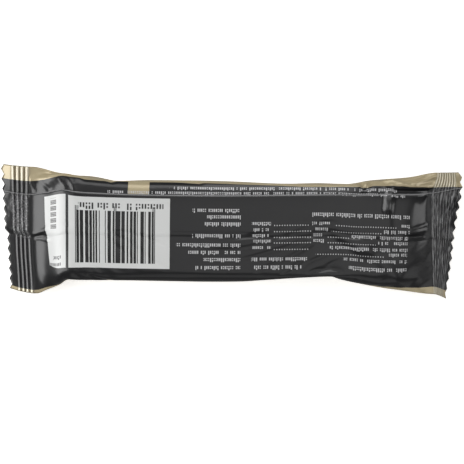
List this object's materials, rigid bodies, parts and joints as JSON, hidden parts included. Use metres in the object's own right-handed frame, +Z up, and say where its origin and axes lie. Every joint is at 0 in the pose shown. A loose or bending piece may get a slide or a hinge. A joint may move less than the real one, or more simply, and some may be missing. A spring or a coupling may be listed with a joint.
{
  "type": "wrapped protein bar",
  "caption": "Protein bar in a shut black and gold flow wrap, lying front down with the folded back fin, printed label and crimped zigzag end seals showing.",
  "frame": {"origin": "middle of the pack's outline, on the surface that it lies on", "axes": "+X along the pack to its longer tapering end, +Y across it towards the fin's free edge, +Z up through the printed back"},
  "size_m": [0.17, 0.0488, 0.0148],
  "materials": {
    "film": "Satin printed wrapping film: black band along the back, champagne gold sides and front, white label panel on the back."
  },
  "bodies": {
    "root": {"wrapped_bar": "film"}
  },
  "joints": []
}
